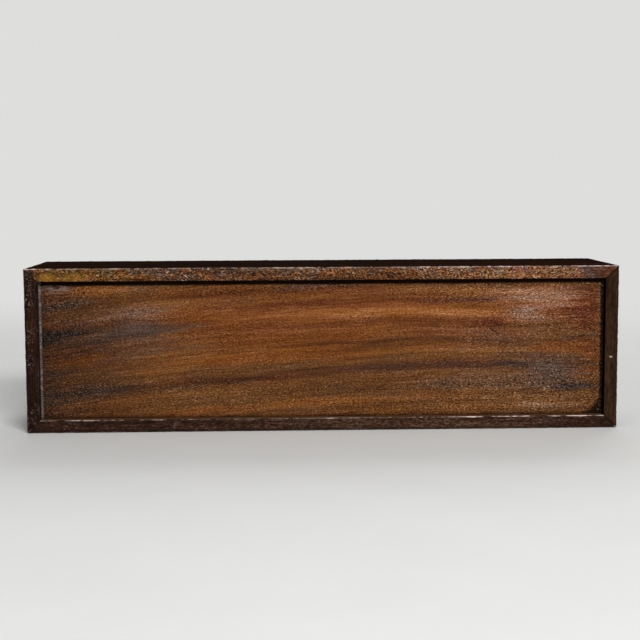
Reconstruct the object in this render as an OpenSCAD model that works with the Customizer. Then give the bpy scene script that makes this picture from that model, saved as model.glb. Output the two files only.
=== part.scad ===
// A long hardwood box with a sliding lid, standing on one of its long sides.
//
// X runs along the box, and the lid slides out towards +X. Z is up, across the
// lid. Y is the depth: the lid's rim faces -Y and the fixed back panel faces +Y.
// The origin is the middle of the footprint, on the surface that the box stands on.
//
// Four boards are dovetailed at the corners. Behind the front rim and behind the
// back rim the joint is a mitred shoulder, which hides the grooves of both panels.
// The lid is a board with a tongue all round. At the pull end the tongue is let
// into a raised strip with mitred ends, which completes the rim when it is shut.

/* [Box] */
// Length of the box, along the lid's travel
box_length = 360; // [240:5:480]
// Width of the box across the lid, which is its height as it stands
box_width = 100; // [70:1:150]
// Depth of the box, from the lid's rim to the back rim
box_depth = 80; // [60:1:120]
// Thickness of the four boards
wall = 8; // [7:0.25:12]
// Radius of the worn outer arrises
outer_arris = 0.8; // [0.3:0.1:2]
// Radius of the arris on the inside of both rims
inner_arris = 0.6; // [0.2:0.1:1.2]

/* [Lid] */
// How far the lid's face lies below the rim
lid_recess = 6; // [3:0.5:10]
// Thickness of the lid board in its field
lid_thickness = 6; // [5:0.25:9]
// Thickness of the tongue along the lid's edges, flush with its face
lid_tongue = 3; // [2:0.25:4]
// How far the lid's tongue reaches into its grooves
lid_reach = 3; // [2:0.25:4]
// Radius of the tongue's two leading corners, which find the grooves first
lid_lead = 1.5; // [0.5:0.25:2]
// Running clearance all round the moving lid
slide_gap = 0.25; // [0.15:0.05:0.4]
// Clearance between the lid's raised inner field and the boards
field_gap = 0.5; // [0.3:0.1:1]

/* [Lid strip] */
// How far the lid's end tongue reaches into the strip
strip_reach = 4; // [3:0.25:5]
// How far the strip's slot stops short of the inner faces of the long boards
strip_stop = 5; // [3:0.5:10]
// Diameter of the pegs that lock the strip on the tongue
peg_diameter = 2; // [1.5:0.1:2.4]
// Thickness of wood left in front of a peg, so that none shows on the face
peg_cover = 3; // [2:0.25:4]
// Number of pegs
peg_count = 3; // [2:1:5]
// Clearance round a peg in its hole
peg_gap = 0.05; // [0.02:0.01:0.1]

/* [Back panel] */
// How far the back panel's face lies below the back rim
back_recess = 1; // [0.5:0.25:3]
// Thickness of the back panel in its field
back_thickness = 6; // [5:0.25:9]
// Thickness of the back panel's tongue, flush with its inner face
back_tongue = 3; // [2:0.25:4]
// How far the back panel's tongue reaches into its grooves
back_reach = 3; // [2:0.25:4]
// Room for the back panel to swell, at the ends of its tongue and round its field
swell_gap = 0.5; // [0.3:0.1:1]

/* [Corner joints] */
// Width of a dovetail at its wide end
tail_width = 9; // [6:0.5:12]
// Least width of the pins between the dovetails, at the outer face
pin_width = 5; // [3:0.5:8]
// Slope of the dovetail's cheeks, in degrees
tail_slope = 9; // [6:1:12]
// Wood between the back panel's groove and the first pin
shoulder_land = 1; // [0.5:0.25:3]
// Glue line in every fixed joint
joint_gap = 0.05; // [0.02:0.01:0.1]

/* [Hidden] */
$fn = 48;
past = 1; // how far a cutter runs past the face that it opens
lap = 1;  // how far the shapes of one board run into each other

half_length = box_length / 2;
inner_x = half_length - wall;             // inner faces of the end boards
inner_z = [wall, box_width - wall];       // inner faces of the long boards

lid_face = lid_recess;                    // the lid's faces, measured from the front rim
lid_back = lid_recess + lid_thickness;

back_face = box_depth - back_recess;      // the back panel's faces, from the front rim
back_inside = back_face - back_thickness;

// The mitred shoulders take each rim down to behind its groove, and the
// dovetails share out the depth that is left between them.
joint_start = lid_back + slide_gap;
joint_end = back_inside - shoulder_land;
tail_count = max(1, floor((joint_end - joint_start) / (tail_width + pin_width)));
tail_pitch = (joint_end - joint_start) / tail_count;
tail_root = tail_width - 2 * wall * tan(tail_slope);

// The end tongue's width, which the pegs share out.
tongue_z = [inner_z[0] + strip_stop, inner_z[1] - strip_stop];
peg_x = inner_x + strip_reach / 2;
peg_length = lid_back - peg_cover;
peg_pitch = (tongue_z[1] - tongue_z[0]) / peg_count;

wood_dark = "#4a2c1c";
wood_edge = "#5d3a20";
wood_lid = "#8a5428";
wood_strip = "#3e2818";
bamboo = "#c9a468";

// Everything is drawn with the front rim at y = 0, then centred on the footprint.
module centred() {
    translate([0, -box_depth / 2, 0]) children();
}

// The lower half of the box and the left half are mirror images of the others.
module upside_down() {
    translate([0, 0, box_width]) mirror([0, 0, 1]) children();
}

module block(low, high) {
    translate(low) cube(high - low);
}

module rounded_rectangle(width, height, radius) {
    translate([radius, 0]) square([width - 2 * radius, height]);
    translate([0, radius]) square([width, height - 2 * radius]);
    for (x = [radius, width - radius], y = [radius, height - radius])
        translate([x, y]) circle(radius);
}

// The box's outer shape with every arris rounded. Each board is cut to it.
module outer_shape() {
    intersection() {
        translate([-half_length, 0, 0])
            linear_extrude(box_width)
                rounded_rectangle(box_length, box_depth, outer_arris);
        translate([-half_length, box_depth, 0])
            rotate([90, 0, 0])
                linear_extrude(box_depth)
                    rounded_rectangle(box_length, box_width, outer_arris);
        translate([-half_length, 0, 0])
            rotate([90, 0, 90])
                linear_extrude(box_length)
                    rounded_rectangle(box_depth, box_width, outer_arris);
    }
}

// The corner of wood that a rounded arris loses: the outside of a quarter circle.
module arris_waste(length) {
    linear_extrude(length)
        difference() {
            translate([-past, -past]) square(inner_arris + past);
            translate([inner_arris, inner_arris]) circle(inner_arris);
        }
}

// Waste along X for the upper long board: at its inner edge, on both rims.
module long_rim_waste() {
    translate([-half_length - past, 0, inner_z[1]])
        rotate([90, 0, 90])
            arris_waste(box_length + 2 * past);
    translate([-half_length - past, box_depth, inner_z[1]])
        rotate([90, 0, 90])
            mirror([1, 0, 0])
                arris_waste(box_length + 2 * past);
}

// Waste along Z for the right end, where the wood lies at larger x: on the back
// rim, and on the front of a piece that starts at a given depth.
module end_rim_waste(from) {
    translate([inner_x, from, -past])
        arris_waste(box_width + 2 * past);
    translate([inner_x, box_depth, -past])
        mirror([0, 1, 0])
            arris_waste(box_width + 2 * past);
}

// The room that the lid's tongue needs, open at the pull end.
module lid_groove() {
    reach = lid_reach + slide_gap;
    block([-inner_x - reach, lid_face - slide_gap, inner_z[0] - reach],
          [half_length + past, lid_face + lid_tongue + slide_gap, inner_z[1] + reach]);
}

// The room that the back panel's tongue needs.
module back_groove() {
    reach = back_reach + swell_gap;
    block([-inner_x - reach, back_inside - joint_gap, inner_z[0] - reach],
          [inner_x + reach, back_inside + back_tongue + joint_gap, inner_z[1] + reach]);
}

// The dovetails in plan at the right end, as wood of a long board. The gap is
// taken off both cheeks.
module tails_plan(gap) {
    root = tail_root / 2 - gap;
    tip = tail_width / 2 - gap;
    for (i = [0 : tail_count - 1])
        translate([inner_x, joint_start + (i + 0.5) * tail_pitch])
            polygon([
                [-lap, -root], [0, -root], [wall, -tip], [wall + past, -tip],
                [wall + past, tip], [wall, tip], [0, root], [-lap, root]
            ]);
}

// An outline drawn in X and Z, given its depth from one y to another.
module along_depth(from, to) {
    translate([0, to, 0])
        rotate([90, 0, 0])
            linear_extrude(to - from)
                children();
}

// The upper right shoulder of a long board: its half of the mitre.
module long_mitre(gap, from, to) {
    slant = gap / sqrt(2);
    along_depth(from, to)
        polygon([
            [inner_x - 2 * lap, inner_z[1]], [inner_x - slant, inner_z[1]],
            [half_length - slant, box_width], [inner_x - 2 * lap, box_width]
        ]);
}

// The upper right shoulder of an end board: the other half of the same mitre.
module end_mitre(gap, from, to) {
    slant = gap / sqrt(2);
    along_depth(from, to)
        polygon([
            [inner_x, inner_z[1] - 2 * lap], [half_length, inner_z[1] - 2 * lap],
            [half_length, box_width - slant], [inner_x, inner_z[1] - slant]
        ]);
}

// The joint at the upper right corner, as wood of the long board. At the pull
// end the front mitre is the seat of the lid's strip, and elsewhere it is glued.
module long_board_corner(front_gap) {
    long_mitre(front_gap, 0, joint_start - joint_gap);
    long_mitre(joint_gap, joint_end + joint_gap, box_depth);
    translate([0, 0, inner_z[1]])
        linear_extrude(wall) {
            tails_plan(joint_gap);
            translate([inner_x - 2 * lap, joint_start - joint_gap])
                square([2 * lap - joint_gap, joint_end - joint_start + 2 * joint_gap]);
        }
}

module long_board() {
    difference() {
        intersection() {
            union() {
                block([-inner_x + lap, 0, inner_z[1]], [inner_x - lap, box_depth, box_width]);
                long_board_corner(slide_gap);
                mirror([1, 0, 0]) long_board_corner(joint_gap);
            }
            outer_shape();
        }
        lid_groove();
        back_groove();
        long_rim_waste();
    }
}

// The joint at the upper right corner, as wood of the end board.
module end_board_corner(from) {
    if (from < joint_start)
        end_mitre(joint_gap, from, joint_start + lap);
    end_mitre(joint_gap, joint_end - lap, box_depth);
    translate([0, 0, inner_z[1] - 2 * lap])
        linear_extrude(wall + 2 * lap)
            difference() {
                translate([inner_x, joint_start])
                    square([wall, joint_end - joint_start]);
                tails_plan(0);
            }
}

// An end board at the right, with its pins at both ends, from a given depth on.
module end_board(from) {
    difference() {
        intersection() {
            union() {
                block([inner_x, from, inner_z[0] + joint_gap],
                      [half_length, box_depth, inner_z[1] - joint_gap]);
                end_board_corner(from);
                upside_down() end_board_corner(from);
            }
            outer_shape();
        }
        back_groove();
        end_rim_waste(from);
    }
}

module top_board() {
    color(wood_edge) centred() long_board();
}

module bottom_board() {
    color(wood_dark) centred() upside_down() long_board();
}

module left_end_board() {
    color(wood_dark)
        centred()
            difference() {
                mirror([1, 0, 0]) end_board(0);
                lid_groove();
            }
}

module right_end_board() {
    color(wood_dark) centred() end_board(joint_start);
}

module back_panel() {
    side = inner_x - swell_gap;
    color(wood_dark)
        centred() {
            block([-inner_x - back_reach, back_inside, inner_z[0] - back_reach],
                  [inner_x + back_reach, back_inside + back_tongue, inner_z[1] + back_reach]);
            block([-side, back_inside, inner_z[0] + swell_gap],
                  [side, back_face, inner_z[1] - swell_gap]);
        }
}

// The end tongue, or the slot in the strip that it fills.
module end_tongue(gap) {
    block([inner_x - lap, lid_face - gap, tongue_z[0] - gap],
          [inner_x + strip_reach + gap, lid_face + lid_tongue + gap, tongue_z[1] + gap]);
}

// The pegs, or the blind holes that they are driven into from the lid's back.
module pegs(gap) {
    for (i = [0 : peg_count - 1])
        translate([peg_x, lid_back, tongue_z[0] + (i + 0.5) * peg_pitch])
            rotate([90, 0, 0])
                cylinder(h = peg_length + gap, d = peg_diameter + 2 * gap);
}

// The lid in X and Z with its tongue, square where it meets the strip.
module lid_outline() {
    length = 2 * inner_x + lid_reach - joint_gap;
    height = inner_z[1] - inner_z[0] + 2 * lid_reach;
    translate([-inner_x - lid_reach, inner_z[0] - lid_reach]) {
        rounded_rectangle(length, height, lid_lead);
        translate([length / 2, 0]) square([length / 2, height]);
    }
}

module lid_board() {
    color(wood_lid)
        centred()
            difference() {
                union() {
                    along_depth(lid_face, lid_face + lid_tongue) lid_outline();
                    block([-inner_x + field_gap, lid_face, inner_z[0] + field_gap],
                          [inner_x - joint_gap, lid_back, inner_z[1] - field_gap]);
                    end_tongue(0);
                }
                pegs(peg_gap);
            }
}

// The raised strip at the pull end. Its mitred ends leave the running clearance
// to their seats on the long boards.
module lid_pull_strip() {
    color(wood_strip)
        centred()
            difference() {
                intersection() {
                    union() {
                        block([inner_x, 0, inner_z[0] + lap],
                              [half_length, lid_back, inner_z[1] - lap]);
                        end_mitre(slide_gap, 0, lid_back);
                        upside_down() end_mitre(slide_gap, 0, lid_back);
                    }
                    outer_shape();
                }
                end_tongue(joint_gap);
                pegs(peg_gap);
                end_rim_waste(0);
            }
}

module lid_strip_pegs() {
    color(bamboo) centred() pegs(0);
}

top_board();
bottom_board();
left_end_board();
right_end_board();
back_panel();
lid_board();
lid_pull_strip();
lid_strip_pegs();
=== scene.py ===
# %% [markdown]
# # A hardwood box with a sliding lid
#
# The box is long and narrow, and stands on one of its long sides with its lid towards us.
# Four boards are dovetailed into a frame, a panel closes the back, and the lid slides in
# grooves towards +X. The right-hand side of the front rim is a strip that is fixed to the
# lid, so that the rim is whole only while the box is shut.
#
# The construction comes in as a fixed frame of exact solids. This lesson gives each solid
# a worn wooden body of its own, and builds the wood as a material.

import math
from contextlib import contextmanager

import bmesh
import bpy
from mathutils import Matrix, Vector


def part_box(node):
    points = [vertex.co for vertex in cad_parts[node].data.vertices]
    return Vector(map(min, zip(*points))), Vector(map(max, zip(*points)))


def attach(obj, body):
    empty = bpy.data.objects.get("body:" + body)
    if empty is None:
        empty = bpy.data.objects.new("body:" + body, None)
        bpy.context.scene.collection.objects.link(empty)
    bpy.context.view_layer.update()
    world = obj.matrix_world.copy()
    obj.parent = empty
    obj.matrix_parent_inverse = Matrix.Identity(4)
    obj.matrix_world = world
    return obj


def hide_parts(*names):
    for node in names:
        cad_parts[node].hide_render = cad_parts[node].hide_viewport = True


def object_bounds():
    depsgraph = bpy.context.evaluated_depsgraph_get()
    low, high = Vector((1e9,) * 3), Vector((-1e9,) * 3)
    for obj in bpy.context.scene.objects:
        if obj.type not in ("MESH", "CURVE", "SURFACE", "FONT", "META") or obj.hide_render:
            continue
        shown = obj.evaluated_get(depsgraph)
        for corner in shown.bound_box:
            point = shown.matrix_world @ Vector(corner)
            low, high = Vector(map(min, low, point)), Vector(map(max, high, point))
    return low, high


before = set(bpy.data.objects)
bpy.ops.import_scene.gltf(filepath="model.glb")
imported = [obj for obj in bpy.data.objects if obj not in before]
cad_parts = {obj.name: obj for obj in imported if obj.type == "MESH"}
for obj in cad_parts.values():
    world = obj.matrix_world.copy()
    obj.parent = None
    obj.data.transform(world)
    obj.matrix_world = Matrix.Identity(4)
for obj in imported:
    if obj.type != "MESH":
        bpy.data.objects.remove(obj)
cad_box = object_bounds()
print("the construction spans", [round(c, 4) for c in (*cad_box[0], *cad_box[1])])

# %% [markdown]
# ## Sizes
#
# Blender works in metres and a cabinet maker thinks in millimetres, so one name, MM,
# turns one into the other. Every place below is worked out from the boxes round the
# frame's own solids, so a wooden body always lands where its solid is.

# %% Sizes that the frame gives
MM = 0.001

outer_low, outer_high = cad_box
half_length = outer_high.x
front, back = outer_low.y, outer_high.y
width = outer_high.z

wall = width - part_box("top_board")[0].z
inner_x = half_length - wall
lid_low, lid_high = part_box("lid_board")
panel_low, panel_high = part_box("back_panel")
strip_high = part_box("lid_pull_strip")[1]
pegs_low, pegs_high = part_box("lid_strip_pegs")
joint_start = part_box("right_end_board")[0].y
print(f"boards {wall / MM:.1f} mm thick, lid face {(lid_low.y - front) / MM:.1f} mm below the rim")

# %% [markdown]
# ## The camera
#
# The photograph is taken from a little above the box and a little to the left of its
# middle. A long focal length keeps the rim nearly square. The place and the angles come
# from the corners and edges of the front rim in the picture.

# %% Place the camera
camera_place = (-0.0286, -0.827, 0.148)
yaw, pitch, roll = math.radians(1.92), math.radians(5.81), math.radians(-0.24)
focal_length, sensor_width = 73.6, 36

camera_data = bpy.data.cameras.new("camera")
camera_data.lens, camera_data.sensor_width = focal_length, sensor_width
camera = bpy.data.objects.new("camera", camera_data)
bpy.context.scene.collection.objects.link(camera)
camera.matrix_world = (
    Matrix.Translation(camera_place)
    @ Matrix.Rotation(-yaw, 4, "Z")
    @ Matrix.Rotation(math.pi / 2 - pitch, 4, "X")
    @ Matrix.Rotation(roll, 4, "Z")
)
bpy.context.scene.camera = camera
print(f"the camera stands {camera.matrix_world.translation.length:.2f} m away")

# %% [markdown]
# ## A board starts as a block
#
# A board is a cube primitive, added at the board's real size and place. Its object is put
# back at the origin with transform_apply, because a pattern on object coordinates has to
# stay where the wood is. Operators act on all that is selected, so each step first
# selects its own piece and nothing else. A new primitive comes in selected alone.

# %% Add a block
def select_only(piece):
    """Makes one object the only selected and active one."""
    bpy.ops.object.select_all(action="DESELECT")
    piece.select_set(True)
    bpy.context.view_layer.objects.active = piece


def block(name, low, high):
    """Adds a cube primitive between two corners, with its object at the origin."""
    low, high = Vector(low), Vector(high)
    bpy.ops.mesh.primitive_cube_add(size=1, location=(low + high) / 2)
    piece = bpy.context.object
    piece.scale = high - low
    bpy.ops.object.transform_apply()
    piece.name = name
    return piece


# %% Open a mesh, and pick edges by where they are
touch = 0.01 * MM


@contextmanager
def editing(piece):
    """Opens a piece in edit mode for the lines that follow, and closes it after them."""
    select_only(piece)
    bpy.ops.object.mode_set(mode="EDIT")
    yield
    bpy.ops.object.mode_set(mode="OBJECT")


def pick_edges(piece, wanted):
    """In edit mode, selects the edges whose two ends satisfy a rule."""
    bpy.ops.mesh.select_mode(type="EDGE")
    bpy.ops.mesh.select_all(action="DESELECT")
    shape = bmesh.from_edit_mesh(piece.data)
    for edge in shape.edges:
        edge.select_set(bool(wanted(edge.verts[0].co, edge.verts[1].co)))
    shape.select_flush_mode()
    bmesh.update_edit_mesh(piece.data)


def near(value, target):
    return abs(value - target) < touch


def edges_at(axis, *places):
    """A rule for edges whose ends both lie at one of some places on an axis."""
    return lambda a, b: any(near(a[axis], at) and near(b[axis], at) for at in places)


def both(first, second):
    return lambda a, b: first(a, b) and second(a, b)


# %% [markdown]
# ## Rounded arrises
#
# An arris is the sharp corner where two planed faces meet, and a maker eases it so that
# it doesn't splinter. It is rounded with the bevel operator while the board is still a
# plain block, because a bevel is cleanest on few faces. The outside of the box gets the
# larger radius. The edges round the lid and round the back panel get a smaller one.

# %% Ease the arrises
outer_arris = 0.8 * MM
inner_arris = 0.6 * MM


def gaps_to_outside(point):
    """The distances from a point to the nearest outer faces, the smallest first."""
    gap_y = min(point.y - front, back - point.y)
    return sorted([half_length - abs(point.x), gap_y, min(point.z, width - point.z)])


def outside_edge(a, b):
    """True for an edge that lies on two outer faces of the whole box."""
    return gaps_to_outside((a + b) / 2)[1] < touch


def ease(piece, wanted, radius, segments=4):
    """Rounds the edges that a rule picks."""
    with editing(piece):
        pick_edges(piece, wanted)
        bpy.ops.mesh.bevel(offset=radius, segments=segments, affect="EDGES")


# %% [markdown]
# ## Wear is shape too
#
# Old hand-planed wood is never flat: the plane leaves shallow hollows, and hands rub the
# arrises down. The block is cut into rows with the subdivide operator, so that it has
# points to move, and Displace modifiers sink it. Their middle level is 1, so a point only
# ever moves inwards and the box keeps its size. A vertex group holds the deeper wear to
# the arrises.

# %% Cut a block into rows
def cut_rows(piece, axis, spacing, shortest=4 * MM):
    """Cuts the edges that run along one axis into rows of about a spacing."""
    ends = [vertex.co[axis] for vertex in piece.data.vertices]
    rows_per_pass = math.ceil(math.sqrt((max(ends) - min(ends)) / spacing))
    with editing(piece):
        for long in (shortest, shortest / rows_per_pass):
            pick_edges(piece, lambda a, b: abs(a[axis] - b[axis]) > max(long, 0.9 * (a - b).length))
            bpy.ops.mesh.subdivide(number_cuts=rows_per_pass - 1, smoothness=0)


# %% Sink a surface with a soft noise
def wear(piece, name, size, depth, group="", contrast=1, brightness=1):
    """Lets a noise texture sink the surface, never by more than a depth."""
    texture = bpy.data.textures.new(f"{piece.name}_{name}", "CLOUDS")
    texture.noise_scale, texture.contrast, texture.intensity = size, contrast, brightness
    select_only(piece)
    sink = piece.modifiers.new(name, "DISPLACE")
    sink.texture, sink.texture_coords = texture, "LOCAL"
    sink.direction, sink.mid_level, sink.strength = "NORMAL", 1, depth
    sink.vertex_group = group
    bpy.ops.object.modifier_apply(modifier=sink.name)


def gap_to_opening(point):
    """How far a point of the rim lies outside the opening that it frames."""
    return max(abs(point.x) - inner_x, abs(point.z - width / 2) - (width / 2 - wall))


arris_reach = 1.6 * MM


def mark_arrises(piece):
    """Puts the points near the box's arrises in a vertex group, nearer ones more."""
    group = piece.vertex_groups.new(name="arris")
    for vertex in piece.data.vertices:
        gaps = gaps_to_outside(vertex.co)
        outer = 1 - (gaps[0] + gaps[1]) / arris_reach
        inner = 0.8 - (abs(gap_to_opening(vertex.co)) + vertex.co.y - front) / arris_reach
        if max(outer, inner) > 0:
            group.add([vertex.index], max(outer, inner), "REPLACE")


def wear_like_an_old_board(piece):
    """Shallow hollows from the plane, then rubbed and knocked arrises."""
    wear(piece, "planing", size=28 * MM, depth=0.14 * MM)
    mark_arrises(piece)
    wear(piece, "rubbing", size=9 * MM, depth=0.25 * MM, group="arris")
    wear(
        piece, "knocks", size=2.4 * MM, depth=0.3 * MM, group="arris", contrast=3, brightness=1.3
    )


def keep_inside(piece):
    """Puts back any point that the wear has pushed out of the box."""
    for vertex in piece.data.vertices:
        vertex.co = [min(max(c, a), b) for c, a, b in zip(vertex.co, outer_low, outer_high)]


sharpest_curve = math.radians(32)


def smooth_faces(piece):
    """Shades gentle curves smooth, keeps flat faces flat, and hands the piece back."""
    select_only(piece)
    bpy.ops.object.shade_smooth_by_angle(angle=sharpest_curve)
    level = piece.modifiers.new("level", "WEIGHTED_NORMAL")
    level.keep_sharp = True
    bpy.ops.object.modifier_apply(modifier=level.name)
    spans = [[vertex.co[axis] / MM for vertex in piece.data.vertices] for axis in range(3)]
    reach = " x ".join(f"{max(span) - min(span):.2f}" for span in spans)
    print(f"{piece.name}: {len(piece.data.polygons)} faces, {reach} mm")
    return piece


# %% [markdown]
# ## Joints are sawn
#
# Each corner is a row of through dovetails between two mitred shoulders. The tails are
# on the long boards and the pins on the end boards, and the shoulders hide the grooves at
# both rims. One rule lays out the row for all four corners, so both boards of a joint are
# sawn to the same lines. A waste shape is a block that is trimmed along a plane with the
# bisect operator, and a Boolean takes it out of the board, as a saw would. The frame is
# sawn before it is worn, because a Boolean cuts most cleanly through flat faces.

# %% Lay out the row of tails
glue_line = 0.05 * MM
tail_width = 9 * MM
pin_width = 5 * MM
tail_slope = math.tan(math.radians(9))
shoulder_land = 1 * MM

joint_end = panel_low.y - shoulder_land
tail_count = int((joint_end - joint_start) / (tail_width + pin_width))
tail_pitch = (joint_end - joint_start) / tail_count
tail_root = tail_width - 2 * wall * tail_slope
tail_middles = [joint_start + (i + 0.5) * tail_pitch for i in range(tail_count)]
print(f"{tail_count} tails, {tail_pitch / MM:.1f} mm apart, {tail_root / MM:.1f} mm at the root")

# %% Trim a waste block, and saw with it
overcut = 1 * MM


def trim(piece, point, normal):
    """Saws a block along a plane, and throws away the side its normal points to."""
    with editing(piece):
        bpy.ops.mesh.select_all(action="SELECT")
        bpy.ops.mesh.bisect(
            plane_co=point, plane_no=normal, use_fill=True, clear_outer=True, threshold=touch / 10
        )
    return piece


def saw(piece, *wastes):
    """Takes waste blocks that don't touch each other out of a piece, in one go."""
    select_only(wastes[0])
    for waste in wastes:
        waste.select_set(True)
    if len(wastes) > 1:
        bpy.ops.object.join()
    select_only(piece)
    cut = piece.modifiers.new("saw", "BOOLEAN")
    cut.operation, cut.solver, cut.object = "DIFFERENCE", "EXACT", wastes[0]
    bpy.ops.object.modifier_apply(modifier=cut.name)
    bpy.data.objects.remove(wastes[0])


# %% Waste at a corner of the box
def corner_block(side, up, low_y, high_y, from_x, from_z):
    """A block at one corner. Its places in x and z are counted from the inner faces out."""
    xs = sorted(side * x for x in (inner_x + from_x, half_length + overcut))
    past_middle = (width / 2 - wall + from_z, width / 2 + overcut)
    zs = sorted(width / 2 + up * z for z in past_middle)
    return block("waste", (xs[0], low_y, zs[0]), (xs[1], high_y, zs[1]))


def mitre_waste(side, up, low_y, high_y, of_long_board, gap=glue_line):
    """The half of a mitred shoulder that belongs to the other board."""
    waste = corner_block(side, up, low_y, high_y, -2 * overcut, -2 * overcut)
    turn = 1 if of_long_board else -1
    kept = Vector((-side * turn, 0, up * turn)).normalized()
    inner_corner = Vector((side * inner_x, 0, width / 2 + up * (width / 2 - wall)))
    return trim(waste, inner_corner + kept * gap / 2, kept)


def pin_waste(side, up):
    """The gaps between the tails of a long board, which the pins will fill."""
    half_root = tail_root / 2 - glue_line
    wastes = []
    for i in range(tail_count + 1):
        low = tail_middles[i - 1] + half_root if i > 0 else joint_start - glue_line
        high = tail_middles[i] - half_root if i < tail_count else joint_end + glue_line
        waste = corner_block(side, up, low, high, -glue_line, -overcut)
        if i > 0:
            trim(waste, (side * inner_x, low, 0), (side * tail_slope, -1, 0))
        if i < tail_count:
            trim(waste, (side * inner_x, high, 0), (side * tail_slope, 1, 0))
        wastes.append(waste)
    return wastes


def tail_waste(side, up):
    """The sockets in an end board, which the tails will fill."""
    wastes = []
    for middle in tail_middles:
        low, high = middle - tail_width, middle + tail_width
        waste = corner_block(side, up, low, high, -overcut, -glue_line)
        trim(waste, (side * inner_x, middle - tail_root / 2, 0), (-side * tail_slope, -1, 0))
        trim(waste, (side * inner_x, middle + tail_root / 2, 0), (-side * tail_slope, 1, 0))
        wastes.append(waste)
    return wastes


# %% Waste of the grooves
lid_tongue = 3 * MM
lid_reach = 3 * MM
slide_gap = 0.25 * MM
back_tongue = 3 * MM
back_reach = 3 * MM
swell_gap = 0.5 * MM


def lid_groove():
    """Open at the pull end, so that the lid can come out."""
    reach = lid_reach + slide_gap
    low = (-inner_x - reach, lid_low.y - slide_gap, wall - reach)
    high = (half_length + overcut, lid_low.y + lid_tongue + slide_gap, width - wall + reach)
    return block("waste", low, high)


def back_groove():
    reach = back_reach + swell_gap
    low = (-inner_x - reach, panel_low.y - glue_line, wall - reach)
    high = (inner_x + reach, panel_low.y + back_tongue + glue_line, width - wall + reach)
    return block("waste", low, high)


# %% [markdown]
# ## The two long boards
#
# They are mirror images, so one function makes both from a sign, +1 for the top board and
# -1 for the bottom one. Each is eased and put in rows while it is whole. Then it gets
# its mitres, its tails and its two grooves, and it is worn last.

# %% Before and after the joints
row_along, row_across, row_through = 1.2 * MM, 3 * MM, 1.5 * MM


def plane_board(board, inner_edge, along, through):
    """Eases a whole board and puts it in rows, which lie closest along its grain."""
    ease(board, inner_edge, inner_arris, 3)
    ease(board, outside_edge, outer_arris)
    for axis, spacing in ((along, row_along), (1, row_across), (through, row_through)):
        cut_rows(board, axis, spacing)


def age_board(board):
    """Wears a board once its joints are sawn, and hands it back."""
    wear_like_an_old_board(board)
    keep_inside(board)
    return smooth_faces(board)


# %% Make the long boards
def long_board(name, up):
    inner_z, outer_z = (width / 2 + up * (width / 2 - inset) for inset in (wall, 0))
    low_z, high_z = sorted((inner_z, outer_z))
    board = block(name, (-half_length, front, low_z), (half_length, back, high_z))
    plane_board(board, both(edges_at(2, inner_z), edges_at(1, front, back)), 0, 2)
    for side in (-1, 1):
        rim_gap = slide_gap if side > 0 else glue_line
        rim_mitre = mitre_waste(side, up, front - overcut, joint_start + overcut, True, rim_gap)
        saw(board, rim_mitre, mitre_waste(side, up, joint_end - overcut, back + overcut, True))
        saw(board, *pin_waste(side, up))
    saw(board, lid_groove(), back_groove())
    return age_board(board)


top_board = long_board("worn_top_board", 1)
bottom_board = long_board("worn_bottom_board", -1)

# %% [markdown]
# ## The two end boards
#
# The left one runs the full depth of the box and is grooved for the lid. The right one
# starts behind the lid, so that the lid can pass over it.

# %% Make the end boards
def end_board(name, side, from_y):
    inner, outer = side * inner_x, side * half_length
    board = block(name, (min(inner, outer), from_y, 0), (max(inner, outer), back, width))
    plane_board(board, both(edges_at(0, inner), edges_at(1, from_y, back)), 2, 0)
    full_depth = from_y < joint_start
    for up in (-1, 1):
        saw(board, mitre_waste(side, up, joint_end, back + overcut, False))
        saw(board, *tail_waste(side, up))
        if full_depth:
            saw(board, mitre_waste(side, up, front - overcut, joint_start, False))
    saw(board, back_groove())
    if full_depth:
        saw(board, lid_groove())
    return age_board(board)


left_end = end_board("worn_left_end_board", -1, front)
right_end = end_board("worn_right_end_board", 1, joint_start)

# %% [markdown]
# ## The pull strip
#
# This is the raised strip on the lid's right-hand end, which one pushes to open the box.
# Its mitred ends meet the long boards with just room to slide, so that the shut rim looks
# like a frame. It has a blind slot for the lid's end tongue.

# %% Make the pull strip
strip_stop = 5 * MM
strip_reach = 4 * MM


def pull_strip(name):
    strip = block(name, (inner_x, front, 0), (half_length, strip_high.y, width))
    ease(strip, outside_edge, outer_arris)
    ease(strip, both(edges_at(0, inner_x), edges_at(1, front)), inner_arris, 3)
    for axis, spacing in ((2, row_along), (1, row_through), (0, row_through)):
        cut_rows(strip, axis, spacing)
    for up in (-1, 1):
        saw(strip, mitre_waste(1, up, front - overcut, strip_high.y + overcut, False, slide_gap))
    low = (inner_x - overcut, lid_low.y - glue_line, wall + strip_stop - glue_line)
    high = (inner_x + strip_reach + glue_line, lid_low.y + lid_tongue + glue_line, width - low[2])
    saw(strip, block("waste", low, high))
    wear_like_an_old_board(strip)
    return smooth_faces(strip)


strip = pull_strip("worn_pull_strip")

# %% [markdown]
# ## The lid
#
# The lid is one wide board. Three of its edges have a tongue that runs in the grooves,
# and a narrower tongue at the pull end fits the strip's slot. The tongue is what is left
# when rebates are sawn round the back. Its two leading corners are rounded, so that they
# find the grooves. On its face the old plane marks are deeper than on the boards. Near
# the pull end a short crack runs down to the right, with a finer one beside its tip.

# %% Make the lid
field_gap = 0.5 * MM
lid_lead = 1.5 * MM
crack_depth, crack_tip = 0.9 * MM, 0.15
rod_length = 40 * MM

# Each crack is x, z, length, opening, and how many degrees it turns.
cracks = [
    (104.5 * MM, 60 * MM, 6 * MM, 0.7 * MM, -29),
    (111 * MM, 53 * MM, 4 * MM, 0.35 * MM, -8),
]


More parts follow.
